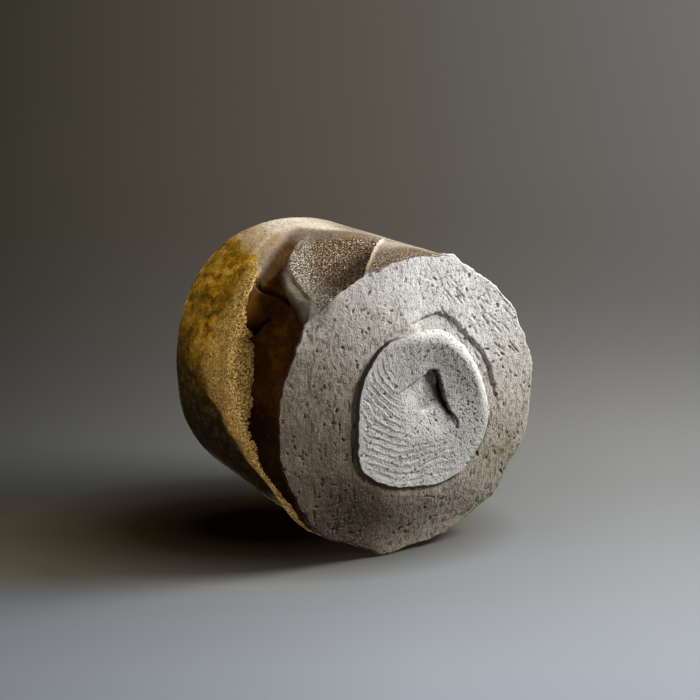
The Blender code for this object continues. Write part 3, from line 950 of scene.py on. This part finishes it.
class Finish(Nodes):
    """A material, with what its colours and bumps are made of."""

    def __init__(self, name, specular=None):
        self.material = bpy.data.materials.new(name)
        self.material.use_nodes = True
        super().__init__(self.material.node_tree)
        self.shader = self.tree.nodes["Principled BSDF"]
        self.place = self.add("TexCoord").outputs["Object"]
        if specular is not None:
            self.feed(self.shader.inputs["Specular IOR Level"], specular)

    def mask(self, name, share=1):
        value = self.add("Attribute", attribute_name=name).outputs["Fac"]
        return value if share == 1 else self.times(value, share)

    def grain(self, size, detail=4, rough=0.6, stretch=None, turn=0):
        """Noise from 0 to 1 whose lumps are as large as the size in millimetres, longer where stretched."""
        place = self.place
        if stretch:
            inputs = {"Vector": place, "Scale": stretch, "Rotation": (0, 0, math.radians(turn))}
            place = self.add("Mapping", inputs, vector_type="TEXTURE").outputs["Vector"]
        inputs = {"Vector": place, "Scale": 1 / (size * MM), "Detail": detail, "Roughness": rough}
        return self.add("TexNoise", inputs).outputs["Fac"]

    def along(self, direction):
        """How far each place lies along a direction."""
        inputs = {0: self.place, 1: tuple(direction)}
        return self.add("VectorMath", inputs, operation="DOT_PRODUCT").outputs["Value"]

    def ranged(self, value, start, end, clamp=True):
        """How far a value has come from start to end, as a share of the way."""
        inputs = {"Value": value, "From Min": start, "From Max": end}
        return self.add("MapRange", inputs, clamp=clamp).outputs[0]

    def ramp(self, factor, *stops, curve="LINEAR"):
        node = self.add("ValToRGB", {"Fac": factor})
        node.color_ramp.interpolation = curve
        elements = node.color_ramp.elements
        while len(elements) < len(stops):
            elements.new(1)
        for element, (position, colour) in zip(elements, stops):
            element.position = position
            element.color = (*colour, 1) if isinstance(colour, tuple) else (colour, colour, colour, 1)
        return node.outputs["Color"]

    def mix(self, factor, one, two, kind="MIX"):
        one, two = ((*value, 1) if isinstance(value, tuple) else value for value in (one, two))
        inputs = {0: factor, 6: one, 7: two}
        return self.add("Mix", inputs, data_type="RGBA", blend_type=kind).outputs[2]

    def tinted(self, one, two):
        return self.mix(1, one, two, "MULTIPLY")

    def layers(self, colour, *coats):
        """A colour with others laid over it in turn, each given by its share and itself."""
        for share, coat in coats:
            colour = self.mix(share, colour, coat)
        return colour

    def finish(self, colour, roughness, heights):
        """Set colour and roughness, and a bump for each (height, distance in millimetres)."""
        self.feed(self.shader.inputs["Base Color"], colour)
        self.feed(self.shader.inputs["Roughness"], roughness)
        bent = None
        for value, far in heights:
            inputs = {"Height": value, "Distance": far * MM, "Strength": 1}
            if bent is not None:
                inputs["Normal"] = bent
            bent = self.add("Bump", inputs).outputs["Normal"]
        self.feed(self.shader.inputs["Normal"], bent)
        return self.material


CLAY_SPECULAR = 0.02
ASH_SPECULAR = 0.012


def wall_colour(f, grit):
    """The bare clay of the wall: brown-grey, blushed in one place and pale towards the rim."""
    cloud = f.grain(16, 3)
    rings = f.grain(2.2, 3, 0.6, (8, 8, 1))
    tone = f.weighted((cloud, 0.5), (rings, 0.27), (grit, 0.23))
    clay = f.ramp(tone, (0.38, (0.165, 0.125, 0.085)), (0.5, (0.285, 0.238, 0.18)),
                  (0.62, (0.42, 0.372, 0.305)))
    blush = f.ramp(cloud, (0.35, (0.17, 0.085, 0.03)), (0.65, (0.33, 0.19, 0.085)))
    cream = f.ramp(tone, (0.38, (0.46, 0.375, 0.255)), (0.6, (0.66, 0.59, 0.485)))
    browned = f.mask("tan", f.ramp(cloud, (0.35, 1), (0.62, 0.72)))
    cream = f.mix(browned, cream, (0.335, 0.215, 0.088))
    return f.layers(clay, (f.mask("flash", 0.85), blush), (f.mask("pale"), cream))


def ash_colour(f, grit):
    """The ash where it is thick: mottled gold and olive, umber towards its far end as partly painted shade;
    and one of its noises.
    """
    cloud = f.grain(9, 5)
    runs = f.grain(6, 4, 0.6, (1, 1, 2.8))
    mottle = f.grain(2.1, 4, 0.68)
    tone = f.weighted((runs, 0.3), (mottle, 0.45), (grit, 0.25))
    gold = f.ramp(tone, (0.4, (0.065, 0.032, 0.002)), (0.47, (0.24, 0.11, 0.005)),
                  (0.53, (0.45, 0.22, 0.013)), (0.6, (0.66, 0.4, 0.075)))
    olive = f.ramp(cloud, (0.44, 0), (0.62, 0.5))
    umber = f.ramp(tone, (0.38, (0.009, 0.005, 0.0006)), (0.5, (0.032, 0.018, 0.003)),
                   (0.62, (0.115, 0.066, 0.016)))
    return f.layers(gold, (olive, (0.15, 0.105, 0.008)), (f.mask("shade"), umber)), mottle


def clay_finish(name):
    f = Finish(name, CLAY_SPECULAR)
    cloud = f.grain(6, 5)
    grit = f.grain(0.8, 3, 0.7)
    dust = f.grain(0.35, 2)
    sugar = f.grain(0.34, 2)
    sun = f.mask("painted_light_and_pale")
    iron_and_painted_shade = f.mask("iron_and_painted_shade")
    scoop = f.mask("scoop")

    # The face's tone follows the painted light and shade of the face mask, with a cloudy clay tone over it
    tone = f.weighted((sun, 0.75), (cloud, 0.45))
    face = f.ramp(tone, (0.05, (0.065, 0.05, 0.034)), (0.22, (0.15, 0.12, 0.088)),
                  (0.45, (0.27, 0.232, 0.185)), (0.75, (0.45, 0.425, 0.385)), (1, (0.68, 0.67, 0.65)))
    streaks = f.ramp(f.grain(0.75, 3, 0.6, (1, 2.4, 1), 45), (0.52, 0), (0.61, 0.78))
    streaks = f.times(streaks, f.ramp(sun, (0.45, 1), (0.8, 0.35)))
    dashes = f.ramp(f.grain(0.4, 2, 0.6, (1, 4, 1)), (0.6, 0), (0.67, 1))
    dashes = f.times(dashes, f.times(sun, sun))
    face = f.layers(face, (streaks, (0.115, 0.08, 0.055)), (f.times(dashes, 0.6), (0.17, 0.16, 0.15)))
    # The hollow's darker brown over the wall is painted shade
    wall = f.mix(f.mask("hollow", 0.7), wall_colour(f, grit), (0.115, 0.08, 0.046))

    sand = f.ramp(sugar, (0.36, (0.05, 0.036, 0.022)), (0.47, (0.2, 0.16, 0.11)),
                  (0.56, (0.4, 0.345, 0.27)), (0.65, (0.9, 0.86, 0.78)))
    earth = f.ramp(sugar, (0.36, (0.016, 0.008, 0.002)), (0.5, (0.105, 0.064, 0.028)),
                   (0.6, (0.23, 0.155, 0.085)), (0.67, (0.74, 0.64, 0.48)))
    # Dark rust brown in the undercut: partly its own colour, partly painted shade; darker still towards the
    # far end, as painted shade
    rust_and_painted_shade = f.ramp(f.weighted((cloud, 0.7), (grit, 0.3)), (0.34, (0.012, 0.004, 0.0005)),
                  (0.52, (0.034, 0.011, 0.0008)), (0.7, (0.085, 0.032, 0.002)))
    shade = f.mask("shade", 0.65)
    rust_and_painted_shade = f.layers(rust_and_painted_shade, (f.mask("ember"), (0.12, 0.045, 0.003)), (shade, (0.006, 0.0025, 0.0006)))
    ash, mottle = ash_colour(f, f.grain(0.6, 3, 0.7))

    bare = f.rest(iron_and_painted_shade)
    specks = f.times(f.ramp(grit, (0.6, 0), (0.7, 0.6)), bare)
    glints = f.times(f.ramp(dust, (0.6, 0), (0.72, 0.45)), bare)
    pepper = f.times(f.ramp(f.grain(0.45, 1), (0.62, 0), (0.7, 0.8)), bare)
    colour = f.layers(
        wall,
        (f.mask("face"), face),
        (scoop, f.mix(f.mask("soil"), sand, earth)),
        (iron_and_painted_shade, rust_and_painted_shade),
        (f.mask("gilt"), ash),
        (specks, (0.1, 0.075, 0.05)),
        (glints, (0.55, 0.53, 0.5)),
        (f.times(pepper, f.rest(scoop)), (0.055, 0.038, 0.026)),
        (f.mask("pits", 0.75), (0.045, 0.03, 0.02)),
        # Near black along the tears: painted shadow
        (f.mask("tear"), (0.004, 0.0015, 0.0004)),
    )
    rough = f.ramp(grit, (0.3, 0.92), (0.7, 0.72))
    combed = f.grain(0.95, 3, 0.6, (1, 2.2, 1), 45)
    rocky = f.times(sugar, scoop)
    heights = ((grit, 0.12), (combed, 0.14), (dust, 0.14), (rocky, 0.8), (f.rest(dashes), 0.12))
    return f.finish(colour, rough, heights)


def pad_finish(name):
    f = Finish(name, CLAY_SPECULAR)
    cloud = f.grain(5, 5)
    grit = f.grain(0.7, 3, 0.7)
    dust = f.grain(0.3, 2)
    torn = f.mask("torn")
    side = f.mask("side")
    specks = f.times(f.ramp(grit, (0.6, 0), (0.7, 0.5)), f.rest(side))
    holes = f.times(f.ramp(grit, (0.38, 0.9), (0.44, 0)), torn)
    glints = f.times(f.ramp(dust, (0.58, 0), (0.72, 0.5)), f.rest(side))
    pepper = f.ramp(f.grain(0.36, 1), (0.62, 0), (0.69, 0.9))
    colour = f.layers(
        f.ramp(cloud, (0.3, (0.39, 0.375, 0.352)), (0.5, (0.485, 0.473, 0.453)), (0.7, (0.58, 0.572, 0.555))),
        (f.times(torn, 0.65), (0.28, 0.268, 0.25)),
        (f.mask("groove", 0.36), (0.17, 0.14, 0.108)),
        # Painted highlight on the pad's lit brim
        (f.mask("brim_highlight"), (0.62, 0.61, 0.595)),
        # Near black on the pad's unlit side: painted shade
        (f.times(side, 0.95), (0.04, 0.022, 0.009)),
        (specks, (0.15, 0.125, 0.1)),
        (holes, (0.04, 0.03, 0.025)),
        (glints, (0.62, 0.61, 0.59)),
        (pepper, (0.05, 0.04, 0.03)),
        # Painted shadow in the notch
        (f.mask("notch_shadow"), (0.01, 0.007, 0.004)),
        (f.mask("pits", 0.7), (0.05, 0.04, 0.03)),
    )
    rough = f.ramp(grit, (0.3, 0.9), (0.7, 0.75))
    return f.finish(colour, rough, ((grit, 0.14), (dust, 0.15)))


def ash_finish(name):
    f = Finish(name, ASH_SPECULAR)
    grit = f.grain(0.6, 3, 0.7)
    bare = f.mask("bare")
    colour, mottle = ash_colour(f, grit)
    # Bright sand for the lip: its own colour lifted by a painted highlight
    sand = f.ramp(f.grain(0.42, 3, 0.65), (0.38, (0.06, 0.03, 0.005)), (0.46, (0.37, 0.195, 0.04)),
                  (0.55, (0.75, 0.46, 0.135)), (0.65, (0.94, 0.72, 0.34)))
    specks = f.ramp(grit, (0.6, 0), (0.7, 0.6))
    # Near-black umber for the painted shade on the far side
    shadow_side_colour = f.ramp(mottle, (0.4, (0.012, 0.008, 0.003)), (0.52, (0.02, 0.013, 0.005)),
                  (0.66, (0.045, 0.03, 0.01)))
    colour = f.layers(
        colour,
        (f.mask("lip", f.ramp(mottle, (0.36, 0.55), (0.52, 1))), sand),
        (specks, (0.06, 0.033, 0.008)),
        (f.mask("painted_shadow_side"), shadow_side_colour),
        (bare, wall_colour(f, f.grain(0.8, 3, 0.7))),
    )
    rough = f.mix(bare, f.ramp(grit, (0.3, 0.66), (0.7, 0.42)), (0.85, 0.85, 0.85))
    return f.finish(colour, rough, ((grit, 0.28), (mottle, 0.25)))


def lining_finish(name):
    f = Finish(name)
    cloud = f.grain(12)
    crackle = f.grain(1.2, 3)
    tone = f.plus(f.mask("deep"), f.times(f.calc("SUBTRACT", cloud, 0.5), 0.5))
    glaze = f.ramp(tone, (0.25, (0.045, 0.055, 0.022)), (0.45, (0.13, 0.105, 0.035)),
                   (0.75, (0.24, 0.175, 0.075)), (0.98, (0.33, 0.26, 0.15)))
    colour = f.mix(f.ramp(crackle, (0.58, 0), (0.7, 0.5)), glaze, (0.07, 0.045, 0.018))
    rough = f.ramp(crackle, (0.3, 0.16), (0.7, 0.34))
    return f.finish(colour, rough, ((crackle, 0.06),))


DRESS = (
    (body, clay_finish("body_stoneware"), "cup_body", "body_clay"),
    (slab, clay_finish("slab_stoneware"), "base_slab", "slab_clay"),
    (foot, pad_finish("pad_stoneware"), "foot_pad", "pad_clay"),
    (ash, ash_finish("ash_coat_finish"), "ash_glaze", "ash_glaze"),
    (bowl, lining_finish("bowl_lining_finish"), "bowl_glaze", "bowl_glaze"),
)
for piece, finish, node, slot in DRESS:
    piece.data.materials.append(finish)
    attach(piece, "root")
    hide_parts(node)


# Stage: the cup lies on one floor in the main view, and stands on another in views from above; in metres

STANDING_LEVEL = -0.0002
LYING_GAP = 0.0001
LYING_MIDDLE = 0.6
FLOOR_HALF = 2.0
BACKDROP = 0.52
scene = bpy.context.scene
across3 = Vector((*ACROSS, 0))
up3 = Vector((*UPWARD, 0))
toward = Vector((0, 0, 1))


def blend3(a, b, c):
    return a * across3 + b * up3 + c * toward


def add_floor(name, centre, side, other, material):
    mesh = bpy.data.meshes.new(name)
    corners = [centre + (side * x + other * y) * FLOOR_HALF for x, y in ((-1, -1), (1, -1), (1, 1), (-1, 1))]
    mesh.from_pydata(corners, [], [(0, 1, 2, 3)])
    mesh.materials.append(material)
    obj = placed(name, mesh)


def floor_finish(name, paint, lying):
    """A floor that is seen from its upper side, by background rays; it casts no light or shadow."""
    f = Finish(name)
    f.tree.nodes.remove(f.shader)
    back = f.add("NewGeometry").outputs["Backfacing"]
    shown = f.times(f.background_rays(), f.rest(back))
    if lying:
        level = f.add("SeparateXYZ", {"Vector": f.place}).outputs["Z"]
        below = f.calc("LESS_THAN", level, STANDING_LEVEL)
        passed = f.add("LightPath").outputs["Transparent Depth"]
        shown = f.times(shown, f.calc("MAXIMUM", below, f.calc("GREATER_THAN", passed, 0.5)))
    matt, glow = paint(f)
    matt = f.add("BsdfDiffuse", {"Color": matt}).outputs[0]
    glow = f.add("Emission", {"Color": glow}).outputs[0]
    both = f.add("AddShader", {0: matt, 1: glow}).outputs[0]
    clear = f.add("BsdfTransparent").outputs[0]
    f.feed(f.tree.nodes["Material Output"].inputs["Surface"], f.choose(shown, clear, both))
    return f.material


def lying_paint(f):
    """Pale near the cup and darker with distance and to one side as painted light falloff, with a painted
    glow for the far backdrop, a warm painted tint and lift in the shadow beside the cup, and painted shadow
    darkest close under the cup.
    """
    far = f.along(blend3(0.53, 0, 0.848))
    side = f.along(blend3(0.848, 0, -0.53))
    depth = f.ranged(far, -0.09, 0.61, clamp=False)
    spread = f.plus(f.times(depth, 0.25), 0.17)
    slant = f.plus(f.calc("DIVIDE", side, spread), 0.5)

    floor = f.ramp(depth, (0.02, (0.257, 0.282, 0.316)), (0.09, (0.232, 0.244, 0.258)),
                   (0.16, (0.19, 0.194, 0.198)), (0.24, (0.176, 0.177, 0.178)), (0.31, (0.134, 0.134, 0.132)),
                   (0.39, (0.098, 0.098, 0.096)), (0.5, (0.058, 0.058, 0.057)), (0.68, 0.01), (0.9, 0),
                   curve="B_SPLINE")
    near_fade = f.ramp(slant, (0, 0.67), (0.5, 0.99), (1, 0.92))
    far_fade = f.ramp(slant, (0, 0.3), (0.62, 0.72), (0.75, 0.74), (0.95, 0.66))
    fade = f.mix(f.ramp(depth, (0.04, 0), (0.2, 1)), near_fade, far_fade)

    long = f.calc("DIVIDE", f.plus(side, 0.033), 0.044)
    wide = f.calc("DIVIDE", f.calc("SUBTRACT", far, 0.019), 0.029)
    ring = f.calc("SQRT", f.plus(f.times(long, long), f.times(wide, wide)))
    # Painted shadow, darkest close under the cup
    painted_shadow = f.ramp(f.times(ring, 0.5), (0.16, (0.03, 0.02, 0.008)), (0.34, (0.22, 0.17, 0.1)), (0.66, 1))
    matt = f.tinted(f.tinted(floor, fade), painted_shadow)

    wall = f.ramp(slant, (0, (0.036, 0.032, 0.023)), (0.5, (0.097, 0.086, 0.069)),
                  (1, (0.165, 0.162, 0.155)))
    rise = f.ramp(depth, (0.18, 0), (0.42, 0.7), (0.62, 0.93), (0.9, 1), curve="B_SPLINE")
    glow = f.tinted(wall, rise)
    # A warm painted tint, with a painted lift of light, in the shadow beside the cup
    band = f.ramp(f.ranged(far, -0.032, 0.048), (0, 0), (0.35, 1), (0.65, 1), (1, 0), curve="EASE")
    warm_shadow_tint = f.times(band, f.ramp(slant, (0.15, 1), (0.48, 0)))
    matt = f.mix(warm_shadow_tint, matt, f.tinted(matt, (1, 0.88, 0.62)))
    glow = f.mix(warm_shadow_tint, glow, f.mix(1, glow, (0.014, 0.0095, 0.003), "ADD"))
    return matt, f.tinted(glow, painted_shadow)


def standing_paint(f):
    """Pale, with the cup's shadow near it and a painted contact shadow close under it, and as light as the
    backdrop further away.
    """
    reach = f.add("VectorMath", {0: f.place}, operation="LENGTH").outputs["Value"]
    near = f.ranged(reach, 0.3, 0.07)
    # Painted contact shadow: the floor's glow darkened close under the cup
    under = f.ramp(f.ranged(reach, 0.031, 0.058), (0, 0.06), (0.35, 0.62), (1, 1))
    matt = f.ramp(near, (0, 0), (1, 0.22))
    return matt, f.tinted(f.ramp(near, (0, BACKDROP), (1, 0.34)), under)


lowest = float(face_places(clay[:wall_rows])[1].min()) * MM
lying_centre = up3 * (lowest - LYING_GAP) + toward * LYING_MIDDLE
lying_finish = floor_finish("lying_floor_finish", lying_paint, True)
add_floor("lying_floor", lying_centre, across3, toward, lying_finish)
standing_finish = floor_finish("standing_floor_finish", standing_paint, False)
add_floor("standing_floor", toward * STANDING_LEVEL, Vector((1, 0, 0)), Vector((0, 1, 0)), standing_finish)

# Lamps: direction as (across, up, toward), distance, size, watts and colour
LAMPS = {
    "window": ((0.7, 0.62, -0.38), 0.3, 0.15, 2.05, (1, 0.99, 0.97)),
    "sky": ((-0.15, 0.9, 0.35), 0.4, 0.3, 0.22, (1, 1, 1)),
    "side": ((-0.92, 0.34, -0.05), 0.4, 0.2, 0.5, (1, 1, 1)),
    "room": ((0.55, -0.55, 0.63), 0.45, 0.3, 1.7, (1, 1, 1)),
}
LAMP_TARGET = Vector((0, 0, 0.02))
for name, (direction, distance, size, watts, colour) in LAMPS.items():
    light = bpy.data.lights.new(name, "AREA")
    light.shape = "DISK"
    light.size = size
    light.energy = watts
    light.color = colour
    facing = blend3(*direction).normalized()
    aim = facing.to_track_quat("Z", "Y").to_matrix().to_4x4()
    placed(name, light).matrix_world = Matrix.Translation(facing * distance + LAMP_TARGET) @ aim

scene.world = bpy.data.worlds.new("studio")
scene.world.use_nodes = True
studio = Nodes(scene.world.node_tree)
daylight = studio.tree.nodes["Background"]
studio.feed(daylight.inputs["Color"], (1, 0.99, 0.97, 1))
studio.feed(daylight.inputs["Strength"], 0.14)
backdrop = studio.add("Background", {"Color": (BACKDROP, BACKDROP, BACKDROP, 1)})
surround = studio.choose(studio.background_rays(), daylight.outputs[0], backdrop.outputs[0])
studio.feed(studio.tree.nodes["World Output"].inputs["Surface"], surround)


# Camera

LENS = 96.7
SENSOR = 36.0
CLIP_START = 0.01
CAMERA_TARGET = Vector((0.00012, -0.00257, 0.0018))
CAMERA_RIGHT, CAMERA_UP, CAMERA_BACK = -0.0117, 0.011, 0.4
back3 = blend3(-0.514, 0.242, -0.823).normalized()
right3 = blend3(0.848, 0, -0.53).normalized()
above3 = back3.cross(right3)

lens = bpy.data.cameras.new("camera")
lens.lens = LENS
lens.sensor_width = SENSOR
lens.clip_start = CLIP_START
aim = Matrix((right3, above3, back3)).transposed().to_4x4()
aim.translation = CAMERA_TARGET + CAMERA_RIGHT * right3 + CAMERA_UP * above3 + CAMERA_BACK * back3
scene.camera = placed("camera", lens)
scene.camera.matrix_world = aim
scene.view_settings.view_transform = "Standard"
